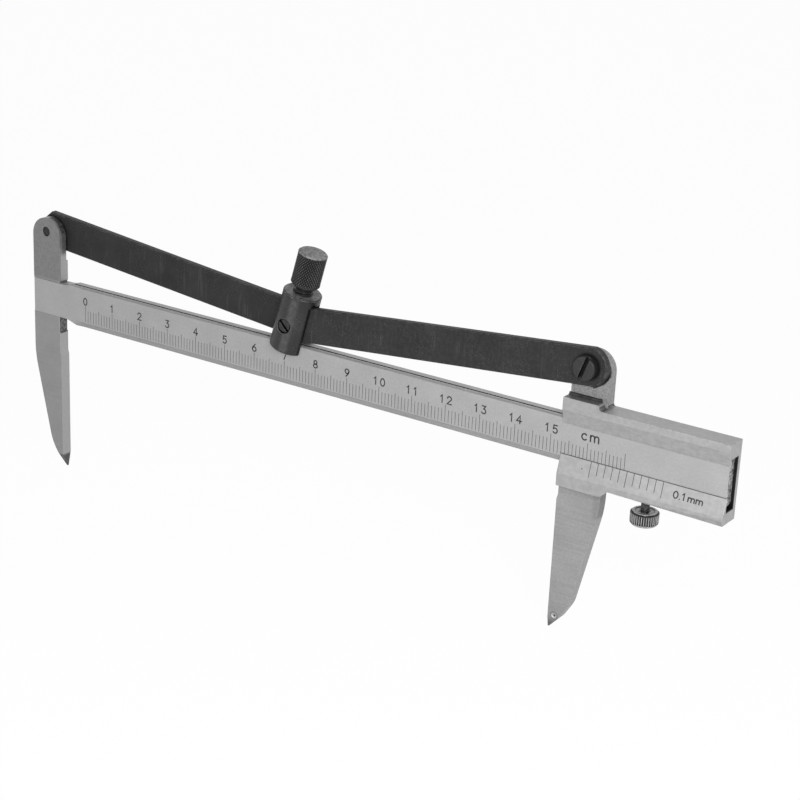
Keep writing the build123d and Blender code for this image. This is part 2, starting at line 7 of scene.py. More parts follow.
# %% Load the solids
import math

import bmesh
import bpy
from mathutils import Matrix, Vector


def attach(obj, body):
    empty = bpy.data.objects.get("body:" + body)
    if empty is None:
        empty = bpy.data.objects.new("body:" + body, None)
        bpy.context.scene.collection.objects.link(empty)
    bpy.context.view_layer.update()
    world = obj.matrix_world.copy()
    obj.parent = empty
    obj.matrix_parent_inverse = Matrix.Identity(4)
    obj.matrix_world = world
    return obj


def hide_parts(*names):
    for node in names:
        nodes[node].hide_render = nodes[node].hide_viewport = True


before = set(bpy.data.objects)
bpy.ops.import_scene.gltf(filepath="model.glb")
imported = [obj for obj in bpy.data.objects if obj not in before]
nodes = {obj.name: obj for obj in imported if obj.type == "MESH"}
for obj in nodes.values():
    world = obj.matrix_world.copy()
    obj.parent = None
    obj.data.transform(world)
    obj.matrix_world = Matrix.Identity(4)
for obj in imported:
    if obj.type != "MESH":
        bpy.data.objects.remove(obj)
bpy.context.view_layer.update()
MM = 0.001

# %% [markdown]
# The camera. It was found by matching the beam's own millimetre ticks with the picture, so
# its place is in millimetres too. It stands to the right of the tool and a little above it,
# and far away, which is why the beam hardly tapers. A camera in Blender looks along its own
# -Z, with +Y up, so the three measured directions become the columns of its matrix.

# %% Set up the camera
CAMERA_PLACE = Vector((366.84, -375.53, 211.07)) * MM
CAMERA_RIGHT = Vector((0.8221203, 0.5676185, 0.0439035))
CAMERA_DOWN = Vector((0.2263374, -0.2551102, -0.9400480))
CAMERA_AHEAD = Vector((-0.5223883, 0.7827695, -0.3382045))
SENSOR_WIDTH = 36.0
FOCAL_PIXELS = 1923.04
PICTURE_WIDTH = 800


def add_object(name, data):
    """An object that holds the given data, linked into the scene."""
    item = bpy.data.objects.new(name, data)
    bpy.context.scene.collection.objects.link(item)
    return item


def add_camera():
    data = bpy.data.cameras.new("photo_camera")
    data.sensor_width = SENSOR_WIDTH
    data.lens = FOCAL_PIXELS * SENSOR_WIDTH / PICTURE_WIDTH
    data.clip_start = 1 * MM
    camera = add_object("photo_camera", data)
    turn = Matrix((CAMERA_RIGHT, -CAMERA_DOWN, -CAMERA_AHEAD)).transposed()
    camera.matrix_world = Matrix.Translation(CAMERA_PLACE) @ turn.to_4x4()
    bpy.context.scene.camera = camera
    return camera


camera = add_camera()
print("camera lens in mm", round(camera.data.lens, 2))

# %% [markdown]
# The room. Satin metal shows what stands around it, and round a tool in a studio that is
# white. A white world would also flood the tool with light, so the world has two strengths:
# plain white for the camera and for reflected rays, and a darker one for the light that
# falls on the tool. Light Path tells these rays apart.

# %% Rays that see the plain white room
def add_node(tree, kind, **values):
    """A new shader node with its settings given by name."""
    node = tree.nodes.new(kind)
    for key, value in values.items():
        setattr(node, key, value)
    return node


def white_room_share(tree):
    """A value that is 1 for rays of the camera and for reflected rays, and 0 for the rest."""
    path = tree.nodes.new("ShaderNodeLightPath")
    total = path.outputs["Is Camera Ray"]
    for label in ("Is Glossy Ray", "Is Transmission Ray"):
        both = add_node(tree, "ShaderNodeMath", operation="MAXIMUM")
        tree.links.new(total, both.inputs[0])
        tree.links.new(path.outputs[label], both.inputs[1])
        total = both.outputs[0]
    return total


# %% [markdown]
# Light. More than half of it comes from the even, pale world. The rest is a large soft lamp
# at the right, in front and not far away, which makes the slider's end lighter than the
# fixed jaw's end. A small one in front draws a bright line down the round black pieces, and
# a weak one from above keeps the upper edges bright.

# %% Light the tool
WHITE = (1, 1, 1, 1)
WORLD_STRENGTH = 0.40
SOFT_LAMPS = (
    # Name, place, aim and width in millimetres, power in watts
    ("right_lamp", (430, -330, 230), (100, 0, 50), 260, 2.3),
    ("front_lamp", (70, -430, 200), (90, 0, 50), 70, 0.22),
    ("top_lamp", (-60, 100, 900), (80, 0, 50), 500, 0.45),
)


def light_world():
    world = bpy.data.worlds.new("studio")
    bpy.context.scene.world = world
    world.use_nodes = True
    tree = world.node_tree
    tree.nodes.clear()
    out = tree.nodes.new("ShaderNodeOutputWorld")
    choose = tree.nodes.new("ShaderNodeMixShader")
    tree.links.new(white_room_share(tree), choose.inputs[0])
    for index, strength in ((1, WORLD_STRENGTH), (2, 1)):
        sky = tree.nodes.new("ShaderNodeBackground")
        sky.inputs["Color"].default_value = WHITE
        sky.inputs["Strength"].default_value = strength
        tree.links.new(sky.outputs[0], choose.inputs[index])
    tree.links.new(choose.outputs[0], out.inputs["Surface"])


def add_soft_lamp(name, place, target, size, power):
    data = bpy.data.lights.new(name, "AREA")
    data.shape = "DISK"
    data.size = size * MM
    data.energy = power
    lamp = add_object(name, data)
    lamp.location = Vector(place) * MM
    aim = (Vector(target) - Vector(place)).normalized()
    lamp.rotation_euler = aim.to_track_quat("-Z", "Y").to_euler()


light_world()
for lamp in SOFT_LAMPS:
    add_soft_lamp(*lamp)
bpy.context.scene.view_settings.view_transform = "Standard"

# %% [markdown]
# The floor. The tool stands on its points, on a plain white table that fades into the white
# background. For the camera and for reflections it is lifted to pure white by a share of
# plain white light, and the rest is its own lit colour, so the shadow stays.

# %% Lay the floor
FLOOR_SIZE = 6000
FLOOR_GREY = 0.9
FLOOR_LIFT_SHARE = 0.96


def add_floor():
    mesh = bpy.data.meshes.new("floor")
    half = FLOOR_SIZE * MM / 2
    corners = [(-half, -half, 0), (half, -half, 0), (half, half, 0), (-half, half, 0)]
    mesh.from_pydata(corners, [], [(0, 1, 2, 3)])
    floor = add_object("floor", mesh)
    material = bpy.data.materials.new("white_table")
    material.use_nodes = True
    tree = material.node_tree
    tree.nodes.clear()
    out = tree.nodes.new("ShaderNodeOutputMaterial")
    matt = tree.nodes.new("ShaderNodeBsdfDiffuse")
    matt.inputs["Color"].default_value = (FLOOR_GREY, FLOOR_GREY, FLOOR_GREY, 1)
    glow = tree.nodes.new("ShaderNodeEmission")
    glow.inputs["Strength"].default_value = 1
    share = add_node(tree, "ShaderNodeMath", operation="MULTIPLY")
    share.inputs[1].default_value = FLOOR_LIFT_SHARE
    choose = tree.nodes.new("ShaderNodeMixShader")
    tree.links.new(white_room_share(tree), share.inputs[0])
    tree.links.new(share.outputs[0], choose.inputs[0])
    tree.links.new(matt.outputs[0], choose.inputs[1])
    tree.links.new(glow.outputs[0], choose.inputs[2])
    tree.links.new(choose.outputs[0], out.inputs["Surface"])
    mesh.materials.append(material)
    return floor


floor = add_floor()
print("floor laid", floor.name)

# %% [markdown]
# Effects that several metals share are node groups: small machines with named inputs, made
# once and placed in each material with its own values. The helpers here open such a group
# and join its nodes. A socket is fed by another socket or by a plain number.

# %% Helpers for shader nodes
def new_group(name, inputs, outputs):
    group = bpy.data.node_groups.new(name, "ShaderNodeTree")
    for label, kind, value in inputs:
        socket = group.interface.new_socket(name=label, in_out="INPUT", socket_type=kind)
        socket.default_value = value
    for label, kind in outputs:
        group.interface.new_socket(name=label, in_out="OUTPUT", socket_type=kind)
    entry = group.nodes.new("NodeGroupInput")
    leave = group.nodes.new("NodeGroupOutput")
    return group, entry, leave


def feed(tree, value, socket):
    """Give a socket its value, which is another socket or a plain number."""
    if isinstance(value, bpy.types.NodeSocket):
        tree.links.new(value, socket)
    else:
        socket.default_value = value


def spread_mask(tree, value, low, high, out_low=0.0, out_high=1.0):
    """Stretch the values from low to high over the whole way from out_low to out_high."""
    node = add_node(tree, "ShaderNodeMapRange")
    node.inputs["From Min"].default_value = low
    node.inputs["From Max"].default_value = high
    node.inputs["To Min"].default_value = out_low
    node.inputs["To Max"].default_value = out_high
    tree.links.new(value, node.inputs["Value"])
    return node.outputs["Result"]


def combine(tree, operation, *values):
    """Join several values with one operation."""
    total = values[0]
    for value in values[1:]:
        node = add_node(tree, "ShaderNodeMath", operation=operation)
        tree.links.new(total, node.inputs[0])
        feed(tree, value, node.inputs[1])
        total = node.outputs[0]
    return total


def add_noise(tree, place, scale, detail=2):
    """The grey of a noise at a place, with a scale that is a number or a socket."""
    noise = add_node(tree, "ShaderNodeTexNoise")
    noise.inputs["Detail"].default_value = detail
    tree.links.new(place, noise.inputs["Vector"])
    feed(tree, scale, noise.inputs["Scale"])
    return noise.outputs["Fac"]


def own_place(tree):
    """The solid's own coordinates, in metres."""
    return tree.nodes.new("ShaderNodeTexCoord").outputs["Object"]


# %% [markdown]
# Grinding leaves fine parallel lines. A scratch texture could be drawn line by line, but a
# noise that is stretched along one direction looks the same and has no seams. The second
# noise is much larger and gives the soft clouds of a surface that has been handled.

# %% Grinding marks
LINE_DETAIL = 3
BLOTCH_DETAIL = 4


def make_grinding_group():
    group, entry, leave = new_group(
        "grinding_marks",
        [("Stretch", "NodeSocketVector", (1, 1, 1)), ("Fineness", "NodeSocketFloat", 2500.0),
         ("Blotch Size", "NodeSocketFloat", 120.0)],
        [("Lines", "NodeSocketFloat"), ("Blotches", "NodeSocketFloat")])
    place = own_place(group)
    stretch = add_node(group, "ShaderNodeVectorMath", operation="MULTIPLY")
    link = group.links.new
    link(place, stretch.inputs[0])
    link(entry.outputs["Stretch"], stretch.inputs[1])
    link(add_noise(group, stretch.outputs[0], entry.outputs["Fineness"], LINE_DETAIL), leave.inputs["Lines"])
    link(add_noise(group, place, entry.outputs["Blotch Size"], BLOTCH_DETAIL), leave.inputs["Blotches"])
    return group


grinding_marks = make_grinding_group()
print("group", grinding_marks.name)

# %% [markdown]
# Edges are where a tool wears first. The Bevel node gives the normal that a surface would
# have if its edges were rounded over a small radius. It differs from the true normal only
# near an edge, so the product of the two finds the edges. A noise keeps the wear uneven,
# and the rounded normal is given out too, because a real edge is never quite sharp.

# %% Worn edges
BEVEL_SAMPLES = 6
EDGE_BEND = (0.99, 0.86)
EDGE_PATCHES = (0.35, 0.6)


def make_edge_group():
    group, entry, leave = new_group(
        "worn_edges",
        [("Radius", "NodeSocketFloat", 0.0003), ("Unevenness", "NodeSocketFloat", 900.0)],
        [("Edge", "NodeSocketFloat"), ("Normal", "NodeSocketVector")])
    rounded = add_node(group, "ShaderNodeBevel", samples=BEVEL_SAMPLES)
    true_normal = add_node(group, "ShaderNodeNewGeometry")
    compare = add_node(group, "ShaderNodeVectorMath", operation="DOT_PRODUCT")
    link = group.links.new
    link(entry.outputs["Radius"], rounded.inputs["Radius"])
    link(rounded.outputs[0], compare.inputs[0])
    link(true_normal.outputs["Normal"], compare.inputs[1])
    bent = spread_mask(group, compare.outputs["Value"], *EDGE_BEND)
    patchy = add_noise(group, own_place(group), entry.outputs["Unevenness"])
    link(combine(group, "MULTIPLY", bent, spread_mask(group, patchy, *EDGE_PATCHES)), leave.inputs["Edge"])
    link(rounded.outputs[0], leave.inputs["Normal"])
    return group


worn_edges = make_edge_group()
print("group", worn_edges.name)

# %% [markdown]
# Blackened steel has a thin black skin, and where it has worn through it shows fine pale
# grains. They stand close together in some places and are missing in others, so a fine
# noise makes the grains and a broad one says where they may be.

# %% Pale grains
CLOUD_SCALE = 150
GRAIN_RANGE = (0.52, 0.75)
GRAIN_CLOUDS = (0.35, 0.7)


def make_grain_group():
    group, entry, leave = new_group(
        "pale_grains",
        [("Grain Size", "NodeSocketFloat", 3500.0), ("Amount", "NodeSocketFloat", 0.5)],
        [("Grains", "NodeSocketFloat")])
    place = own_place(group)
    specks = spread_mask(group, add_noise(group, place, entry.outputs["Grain Size"]), *GRAIN_RANGE)
    clouds = spread_mask(group, add_noise(group, place, CLOUD_SCALE), *GRAIN_CLOUDS)
    grains = combine(group, "MULTIPLY", specks, clouds, entry.outputs["Amount"])
    group.links.new(grains, leave.inputs["Grains"])
    return group


pale_grains = make_grain_group()
print("group", pale_grains.name)

# %% [markdown]
# Painted shade. Narrow corners and gaps are darkened in the colour itself, where shade
# falls. The Ambient Occlusion node says how open the space over a point is, up to a given
# reach, and what is less open than Open begins to turn dark. At Shut it is fully dark.

# %% Painted shade in corners
CORNER_SAMPLES = 8


def make_corner_group():
    group, entry, leave = new_group(
        "painted_corner_shade",
        [("Reach", "NodeSocketFloat", 0.001), ("Open", "NodeSocketFloat", 0.6),
         ("Shut", "NodeSocketFloat", 0.15)],
        [("Corner Shade", "NodeSocketFloat")])
    # Painted shade: how far a point is darkened for lying in a corner or a gap.
    corner = add_node(group, "ShaderNodeAmbientOcclusion", samples=CORNER_SAMPLES)
    spread = add_node(group, "ShaderNodeMapRange")
    link = group.links.new
    link(entry.outputs["Reach"], corner.inputs["Distance"])
    link(corner.outputs["AO"], spread.inputs["Value"])
    link(entry.outputs["Open"], spread.inputs["From Min"])
    link(entry.outputs["Shut"], spread.inputs["From Max"])
    link(spread.outputs["Result"], leave.inputs["Corner Shade"])
    return group


painted_corner_shade = make_corner_group()
print("group", painted_corner_shade.name)

# %% [markdown]
# Years of handling leave small uneven spots. They are one noise with more contrast, which
# every metal uses: to vary its grey, its worn edges and its stains.

# %% Mottle
SPOT_DETAIL = 3
SPOT_RANGE = (0.40, 0.60)


def make_mottle_group():
    group, entry, leave = new_group(
        "mottle",
        [("Fineness", "NodeSocketFloat", 1500.0)],
        [("Spots", "NodeSocketFloat")])
    spots = add_noise(group, own_place(group), entry.outputs["Fineness"], SPOT_DETAIL)
    group.links.new(spread_mask(group, spots, *SPOT_RANGE), leave.inputs["Spots"])
    return group


mottle = make_mottle_group()
print("group", mottle.name)

# %% [markdown]
# Masks. A mask is 1 where a finish is wanted and 0 elsewhere. Three kinds are enough for
# this tool: a box given by ranges along X, Y and Z, a ring round an axis that runs from
# front to back, and the way a surface faces. All are in the tool's own millimetres, so a
# mask stays on its piece when the piece moves.

# %% Masks in millimetres
def coordinates(tree, lean=None):
    """X, Y and Z, or the same about a point and turned back by a lean, which is (point, angle)."""
    split = tree.nodes.new("ShaderNodeSeparateXYZ")
    source = own_place(tree)
    if lean is not None:
        point, angle = lean
        shift = add_node(tree, "ShaderNodeVectorMath", operation="SUBTRACT")
        shift.inputs[1].default_value = Vector(point) * MM
        turn = add_node(tree, "ShaderNodeVectorRotate", rotation_type="Y_AXIS")
        turn.inputs["Angle"].default_value = -angle
        tree.links.new(source, shift.inputs[0])
        tree.links.new(shift.outputs[0], turn.inputs["Vector"])
        source = turn.outputs[0]
    tree.links.new(source, split.inputs[0])
    return split.outputs


def between(tree, value, low, high, soft):
    """Two masks whose product is 1 between two values in millimetres."""
    return (spread_mask(tree, value, (low - soft) * MM, (low + soft) * MM),
            spread_mask(tree, value, (high + soft) * MM, (high - soft) * MM))


def region_mask(tree, axes, limits, soft=0.08):
    """1 inside the given limits in millimetres, which are {axis: (low, high)}."""
    sides = []
    for axis, (low, high) in limits.items():
        sides += between(tree, axes[axis], low, high, soft)
    return combine(tree, "MULTIPLY", *sides)


def ring_mask(tree, axes, centre, low, high, soft=0.1):
    """1 between two distances in millimetres from an axis that runs along Y."""
    squares = []
    for axis, middle in zip("XZ", centre):
        offset = combine(tree, "SUBTRACT", axes[axis], middle * MM)
        squares.append(combine(tree, "MULTIPLY", offset, offset))
    reach = add_node(tree, "ShaderNodeMath", operation="SQRT")
    tree.links.new(combine(tree, "ADD", *squares), reach.inputs[0])
    return combine(tree, "MULTIPLY", *between(tree, reach.outputs[0], low, high, soft))


def facing_axis(tree, axis):
    """How far a surface faces along an axis, from -1 to 1."""
    normal = tree.nodes.new("ShaderNodeNewGeometry")
    facing = tree.nodes.new("ShaderNodeSeparateXYZ")
    tree.links.new(normal.outputs["Normal"], facing.inputs[0])
    return facing.outputs[axis]


# %% [markdown]
# Every metal here is one Principled shader. Its colour is built up in layers, each mixed
# over the one before by a mask, as a painter would glaze them. The helpers below place a
# group, mix two greys, paint a list of stains and of painted light and shade, and set the
# roughness and the bump.

# %% Helpers for metals
LINE_RANGE = (0.3, 0.7)
BUMP_DEPTH = 0.02


def new_material(name):
    material = bpy.data.materials.new(name)
    material.use_nodes = True
    tree = material.node_tree
    return material, tree, tree.nodes["Principled BSDF"]


def place_group(tree, group, **values):
    node = tree.nodes.new("ShaderNodeGroup")
    node.node_tree = group
    for key, value in values.items():
        node.inputs[key.replace("_", " ")].default_value = value
    return node


def mix_colour(tree, share, first, second, **settings):
    """Two colours mixed by a share. Each may be a socket, or a number for a plain grey."""
    node = add_node(tree, "ShaderNodeMix", data_type="RGBA", **settings)
    feed(tree, share, node.inputs["Factor"])
    for value, socket in ((first, node.inputs[6]), (second, node.inputs[7])):
        is_socket = isinstance(value, bpy.types.NodeSocket)
        feed(tree, value if is_socket else (value, value, value, 1), socket)
    return node.outputs[2]


def add_stains(tree, axes, colour, stains_and_painted_light, spots):
    """Paint stains and patches of painted light and shade over a colour. Each is its limits, its dark and
    pale grey and its border.
    """
    for limits, dark, pale, soft in stains_and_painted_light:
        tone = mix_colour(tree, spots, dark, pale) if pale > dark else dark
        colour = mix_colour(tree, region_mask(tree, axes, limits, soft), colour, tone)
    return colour


def corner_dirt(tree, corner):
    """The painted shade of corners, for a reach in millimetres and the values of open and shut."""
    reach, open_value, shut_value = corner
    group = place_group(tree, painted_corner_shade, Reach=reach * MM, Open=open_value, Shut=shut_value)
    return group.outputs["Corner Shade"]


def set_surface(tree, shader, lines, roughness, swing, height, strength, normal):
    """Roughness that swings with the grinding lines, and a bump over the rounded normal."""
    smooth, dull = swing
    rough = spread_mask(tree, lines, *LINE_RANGE, roughness + smooth, roughness + dull)
    tree.links.new(rough, shader.inputs["Roughness"])
    bump = tree.nodes.new("ShaderNodeBump")
    bump.inputs["Strength"].default_value = strength
    bump.inputs["Distance"].default_value = BUMP_DEPTH * MM
    tree.links.new(height, bump.inputs["Height"])
    tree.links.new(normal, bump.inputs["Normal"])
    tree.links.new(bump.outputs[0], shader.inputs["Normal"])


# %% [markdown]
# Ground steel. A fully metallic surface would only mirror the white room and look flat, so
# these steels are less than half metallic and carry their own grey. Over it come the marks
# of grinding and soft clouds. The long bevels are ground across. They and the faces that
# look sideways have a grey of their own by the way they face: painted light and shade.
# Edges are paler, and corners are darkened with painted shade. Stains and rings are the
# marks of one given place on the tool; some are stains, and some are painted shade and light.

# %% Ground steel
STEEL_METALLIC = 0.4
STEEL_EDGE_RADIUS = 0.2
STEEL_SWING = (-0.05, 0.07)
STEEL_BUMP = 0.12
CLOUD_SHARE = 0.5
CLOUD_TONES = (0.88, 1.08)
SCORED_TONES = (0.92, 1.08)
SIDEWAYS = (0.5, 0.8)
LOW_BEVEL_FACING = (-0.2, -0.9)
TOP_BEVEL_FACING = (0.4, 0.95)
STEEP_EASE = 0.7
LEVEL_EASE = 0.9


def mix_tones(tree, share, grey, tones):
    return mix_colour(tree, share, grey * tones[0], grey * tones[1])


def ground_steel(name, grey, stretch, roughness, edge_grey=None, low_bevel_share=1.0, top_bevel_share=1.0,
                 side_share=1.0, stains_and_painted_light=(), rings=(), corner=(0.9, 0.5, 0.12), corner_shade_grey=0.05,
                 fineness=2500.0, contrast=0.08, spot_fineness=1500.0, uneven=0.06):
    material, tree, shader = new_material(name)
    axes = coordinates(tree)
    marks = place_group(tree, grinding_marks, Stretch=stretch, Fineness=fineness)
    edges = place_group(tree, worn_edges, Radius=STEEL_EDGE_RADIUS * MM)
    spots = place_group(tree, mottle, Fineness=spot_fineness).outputs["Spots"]
    lines = spread_mask(tree, marks.outputs["Lines"], *LINE_RANGE)
    blotches = spread_mask(tree, marks.outputs["Blotches"], *LINE_RANGE)
    lined = mix_tones(tree, lines, grey, (1 - contrast, 1 + contrast))
    clouded = mix_tones(tree, blotches, grey, CLOUD_TONES)
    colour = mix_colour(tree, CLOUD_SHARE, lined, clouded)
    # Painted light and shade: sideways faces and the sloping bevels get a grey of their own by the way they
    # face.
    sides = spread_mask(tree, facing_axis(tree, "X"), *SIDEWAYS)
    colour = mix_colour(tree, sides, colour, grey * side_share)
    upward = facing_axis(tree, "Z")
    for share, (steep, level) in ((low_bevel_share, LOW_BEVEL_FACING), (top_bevel_share, TOP_BEVEL_FACING)):
        leaning = spread_mask(tree, upward, steep * STEEP_EASE, steep)
        flat = spread_mask(tree, upward, level, level * LEVEL_EASE)
        bevel = combine(tree, "MULTIPLY", leaning, flat)
        colour = mix_colour(tree, bevel, colour, mix_tones(tree, lines, grey * share, SCORED_TONES))
    handled = mix_colour(tree, spots, 1 - uneven, 1 + uneven)
    colour = mix_colour(tree, 1, colour, handled, blend_type="MULTIPLY")
    if edge_grey is not None:
        colour = mix_colour(tree, edges.outputs["Edge"], colour, edge_grey)
    colour = add_stains(tree, axes, colour, stains_and_painted_light, spots)
    for centre, (low, high), depth, ring_grey in rings:
        ring = ring_mask(tree, axes, centre, low, high)
        ring = combine(tree, "MULTIPLY", ring, region_mask(tree, axes, depth))
        colour = mix_colour(tree, ring, colour, ring_grey)
    # Painted shade in corners and gaps, mixed towards a dark grey.
    colour = mix_colour(tree, corner_dirt(tree, corner), colour, corner_shade_grey)
    tree.links.new(colour, shader.inputs["Base Color"])
    shader.inputs["Metallic"].default_value = STEEL_METALLIC
    set_surface(tree, shader, marks.outputs["Lines"], roughness, STEEL_SWING,
                marks.outputs["Lines"], STEEL_BUMP, edges.outputs["Normal"])
    return material


# %% [markdown]
# The beam and the slider are ground along their length, the jaws too but darker and
# coarser. Each stain, and each patch of painted light or shade, has its limits, its dark and
# pale grey and the width of its border, in millimetres: {axis: (low, high)}, dark, pale,
# border. The stains are small, but they are what makes a tool look used and not new. The
# patches of painted shade and light are named as such.

# %% The steels of the beam and the slider
beam_steel = ground_steel(
    "beam_steel", 0.345, (0.03, 1, 1), 0.42, edge_grey=0.44, low_bevel_share=0.80,
    top_bevel_share=0.68, contrast=0.04, spot_fineness=1700.0, uneven=0.03,
    stains_and_painted_light=[
        # The turn from the graduated face to the lower bevel
        ({"Z": (45.86, 45.98), "X": (6, 210)}, 0.2, 0.2, 0.06),
        # The groove in the top, painted nearly black: painted shade in the groove
        ({"Z": (55.6, 55.97), "Y": (0.93, 1.67), "X": (2.5, 206)}, 0.03, 0.05, 0.015),
        # The sawn end, black with bright saw marks
        ({"X": (204.8, 207), "Y": (0.06, 4)}, 0.005, 0.50, 0.04)])
slider_steel = ground_steel(
    "slider_steel", 0.32, (0.15, 1, 1), 0.42, edge_grey=0.50, low_bevel_share=0.90, contrast=0.04,
    spot_fineness=900.0, uneven=0.05,
    stains_and_painted_light=[
        # The seat under the right arm, darkened: painted shadow of the arm
        ({"Z": (61.05, 63.0), "Y": (-0.85, 3)}, 0.025, 0.06, 0.10),
        # The cove beside the lug, darkened: painted shade
        ({"X": (172.1, 173.7), "Z": (59.4, 60.9), "Y": (-0.8, 6)}, 0.06, 0.12, 0.35),
        # Inside the open right end, painted black: painted shade
        ({"X": (203.5, 207), "Y": (-0.02, 3.8), "Z": (43.0, 56.1)}, 0.006, 0.006, 0.04),
        # A dark line along the upper edge of the vernier: painted shadow of the gap
        ({"Z": (46.66, 46.9), "Y": (-0.30, 0)}, 0.03, 0.03, 0.04),
        # The facet below the vernier, with a grey of its own by the way it faces: painted shade
        ({"Z": (40, 41.8), "Y": (-1.485, -1.1), "X": (184, 206.05)}, 0.25, 0.29, 0.012)])
print("steels", beam_steel.name, slider_steel.name)

# %% [markdown]
# The jaws. Their points are hardened, which leaves them nearly black. The moving jaw also
# has rings, each a centre, two radii, limits and a grey. Two are a black line on the lug
# round the right arm's end, a painted shadow of the arm. The others paint the hardness
# dimple near the point: a black bottom that is painted shade, a bright wall that is a
# painted highlight, and a darker rim.

# %% The steels of the jaws
ARM_SCREW_CENTRE = (168.15, 69.5)
DIMPLE_CENTRE = (163.25, 3.3)
LUG_FRONT = {"Y": (1.0, 2.1)}
BELOW_ARM_END = {"Y": (1.0, 2.1), "X": (168.9, 174), "Z": (60, 68.5)}
JAW_FRONT = {"Y": (1.4, 2.6)}
jaw_steel = ground_steel(
    "jaw_steel", 0.255, (0.05, 1, 1), 0.42, edge_grey=0.36, contrast=0.10, side_share=1.25,
    spot_fineness=1300.0, uneven=0.02,
    stains_and_painted_light=[
        # The dull front of the lug
        ({"Z": (56.0, 80), "X": (-12, 1), "Y": (0.0, 0.6)}, 0.170, 0.195, 0.25),
        # The hardened point
        ({"Z": (-1, 3.9), "X": (-11, 20)}, 0.05, 0.10, 0.35),
        # The notches below and above the beam, darkened: painted shade in the notches
        ({"Z": (40.6, 45.8), "X": (-1.2, 0.3), "Y": (0.45, 3.4)}, 0.04, 0.13, 0.05),
        ({"Z": (55.3, 56.05), "X": (-1.2, 0.3), "Y": (0.4, 3.4)}, 0.10, 0.14, 0.05),
        # The side of the lug in front of the left arm, darkened: painted shade, mottled with blotches
        ({"Z": (63.6, 76), "X": (-4.5, 0.3), "Y": (0.9, 4)}, 0.03, 0.075, 0.6)])
moving_jaw_steel = ground_steel(
    "moving_jaw_steel", 0.272, (0.05, 1, 1), 0.42, edge_grey=0.42, contrast=0.16, fineness=1800.0,
    spot_fineness=2300.0, uneven=0.05,
    stains_and_painted_light=[
        # The hardened point
        ({"Z": (-3, 2.0), "X": (150, 190)}, 0.08, 0.12, 1.2),
        # The side under the slider, darkened: painted shade under the slider
        ({"X": (171.5, 174), "Y": (1.9, 6), "Z": (31.5, 42)}, 0.14, 0.18, 0.5),
        # The duller lug
        ({"Z": (61.0, 90)}, 0.18, 0.27, 0.3),
        # A black line on the lug's side behind the arm's end: painted shadow of the arm
        ({"X": (171, 174), "Y": (1.95, 2.55), "Z": (67.3, 71.2)}, 0.006, 0.006, 0.04)],
    rings=[
        # Painted shadow of the right arm's end on the lug, as two overlapping rings.
        (ARM_SCREW_CENTRE, (4.6, 5.4), LUG_FRONT, 0.008),
        ((167.1, 68.75), (4.6, 5.3), BELOW_ARM_END, 0.02),
        # The hardness dimple: painted highlight on its wall, painted shade in its bottom, and a darker rim.
        (DIMPLE_CENTRE, (0.38, 0.68), JAW_FRONT, 0.42),
        (DIMPLE_CENTRE, (-1.0, 0.25), JAW_FRONT, 0.02),
        (DIMPLE_CENTRE, (0.85, 1.15), JAW_FRONT, 0.16)])
print("steels", jaw_steel.name, moving_jaw_steel.name)

# %% [markdown]
# Rivets are dressed flush, across the plate. The lock screw is turned and knurled, so its
# lines are short and its points bright, and its hollows are painted black as shade. The
# gib is a strip of spring steel.

# %% The steels of the small parts
rivet_steel = ground_steel("rivet_steel", 0.33, (1, 1, 0.06), 0.38)
# Its corner shade is strong, so the hollows of its knurl are painted black as shade.
screw_steel = ground_steel(
    "screw_steel", 0.30, (1, 1, 1), 0.34, edge_grey=0.75, corner=(0.5, 0.97, 0.68), corner_shade_grey=0.01,
    contrast=0.3, fineness=5000.0, spot_fineness=2600.0,
    stains_and_painted_light=[
        # The rim on top of the head
        ({"Z": (37.375, 37.42), "X": (182.8, 187.6), "Y": (-0.7, 4.2)}, 0.12, 0.30, 0.008),
        # The shank
        ({"Z": (37.36, 45), "X": (184.0, 186.4), "Y": (0.5, 3.0)}, 0.006, 0.07, 0.03),
        # The bottom of the dish in the head
        ({"Z": (37.10, 37.262)}, 0.01, 0.01, 0.006),
        # The rim below
        ({"Z": (33.9, 34.7)}, 0.22, 0.34, 0.05)])
spring_steel = ground_steel("spring_steel", 0.20, (0.05, 1, 1), 0.35)
print("steels", [m.name for m in bpy.data.materials if m.name.endswith("steel")])

# %% [markdown]
# Blackened steel is not metallic to the eye. It is a black skin with pale grains, fine
# upright scratches and worn edges, and its corners are painted black as shade. A skin that
# isn't metal still mirrors a little white, so the painted shade turns metallic: a black
# metal mirrors nothing. The knurl of the knob has a value of its own in its mesh, Peak, that
# says how near each point is to the top of a diamond, and there the skin is worn to grey,
# while the bottoms of its grooves are painted black as shade. The screws' slot walls and
# sides are painted darker as shade by the way they face.

# %% Blackened steel
BLACK = 0.004
BLACK_SWING = (-0.05, 0.08)
BLACK_BUMP = 0.25
SCRATCH_STRETCH = (1, 1, 0.07)
SCRATCH_FINENESS = 1600.0
SCRATCH_RANGE = (0.56, 0.74)
BLACK_BLOTCH_SIZE = 90.0
BLACK_BLOTCHES = (0.35, 0.65)
WORN_TONES = (0.6, 1.3)
SKIN_TONES = (0.75, 1.3)
PEAK_WORN = (0.45, 1.0)
PEAK_EDGE = (0.5, 0.8)
PEAK_HOLLOW = (0.25, 0.05)
TURNED_AWAY = (0.93, 0.75)
TURNED_AWAY_SHARE = 0.5


